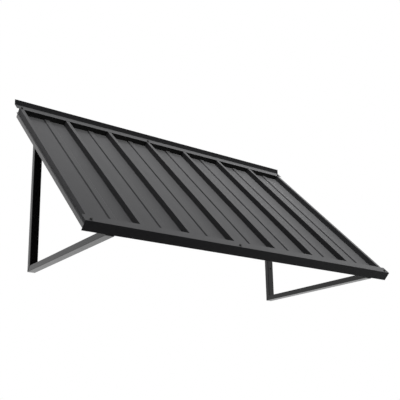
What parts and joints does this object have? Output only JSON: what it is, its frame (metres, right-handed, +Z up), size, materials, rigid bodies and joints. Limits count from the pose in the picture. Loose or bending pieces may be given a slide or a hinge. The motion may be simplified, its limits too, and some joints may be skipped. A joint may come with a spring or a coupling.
{
  "type": "metal awning",
  "caption": "Lean-to metal awning: standing-seam roof panels on a tube frame, with wall flashing, front trim and triangular wall brackets.",
  "frame": {"origin": "centre of the wall flashing's back face, on the wall plane", "axes": "+X along the wall to the right as seen from the front, -Y away from the wall, +Z up"},
  "size_m": [1.652, 0.7562, 0.8146],
  "materials": {
    "sheet_coat": "satin black powder coat on folded steel sheet",
    "bracket_coat": "satin black powder coat on rectangular steel tube",
    "frame_coat": "satin black powder coat on steel tube and clips",
    "foam": "matt black closed-cell foam",
    "screw_paint": "black painted hexagon head on a sealing washer"
  },
  "bodies": {
    "root": {"back_rail": "frame_coat", "closure_1": "foam", "closure_2": "foam", "closure_3": "foam", "closure_4": "foam", "closure_5": "foam", "closure_6": "foam", "closure_7": "foam", "front_rail": "frame_coat", "front_screw_left": "screw_paint", "front_screw_middle": "screw_paint", "front_screw_right": "screw_paint", "front_trim": "sheet_coat", "left_arm": "bracket_coat", "left_bar": "bracket_coat", "left_post": "bracket_coat", "mid_rail": "frame_coat", "right_arm": "bracket_coat", "right_bar": "bracket_coat", "right_post": "bracket_coat", "roof_panel_1": "sheet_coat", "roof_panel_2": "sheet_coat", "roof_panel_3": "sheet_coat", "roof_panel_4": "sheet_coat", "roof_panel_5": "sheet_coat", "roof_panel_6": "sheet_coat", "roof_panel_7": "sheet_coat", "seam_clip_back_1": "frame_coat", "seam_clip_back_2": "frame_coat", "seam_clip_back_3": "frame_coat", "seam_clip_back_4": "frame_coat", "seam_clip_back_5": "frame_coat", "seam_clip_back_6": "frame_coat", "seam_clip_mid_1": "frame_coat", "seam_clip_mid_2": "frame_coat", "seam_clip_mid_3": "frame_coat", "seam_clip_mid_4": "frame_coat", "seam_clip_mid_5": "frame_coat", "seam_clip_mid_6": "frame_coat", "side_rail_left": "frame_coat", "side_rail_right": "frame_coat", "side_trim_left": "sheet_coat", "side_trim_right": "sheet_coat", "top_screw_left": "screw_paint", "top_screw_middle": "screw_paint", "top_screw_right": "screw_paint", "wall_flashing": "sheet_coat"}
  },
  "joints": []
}
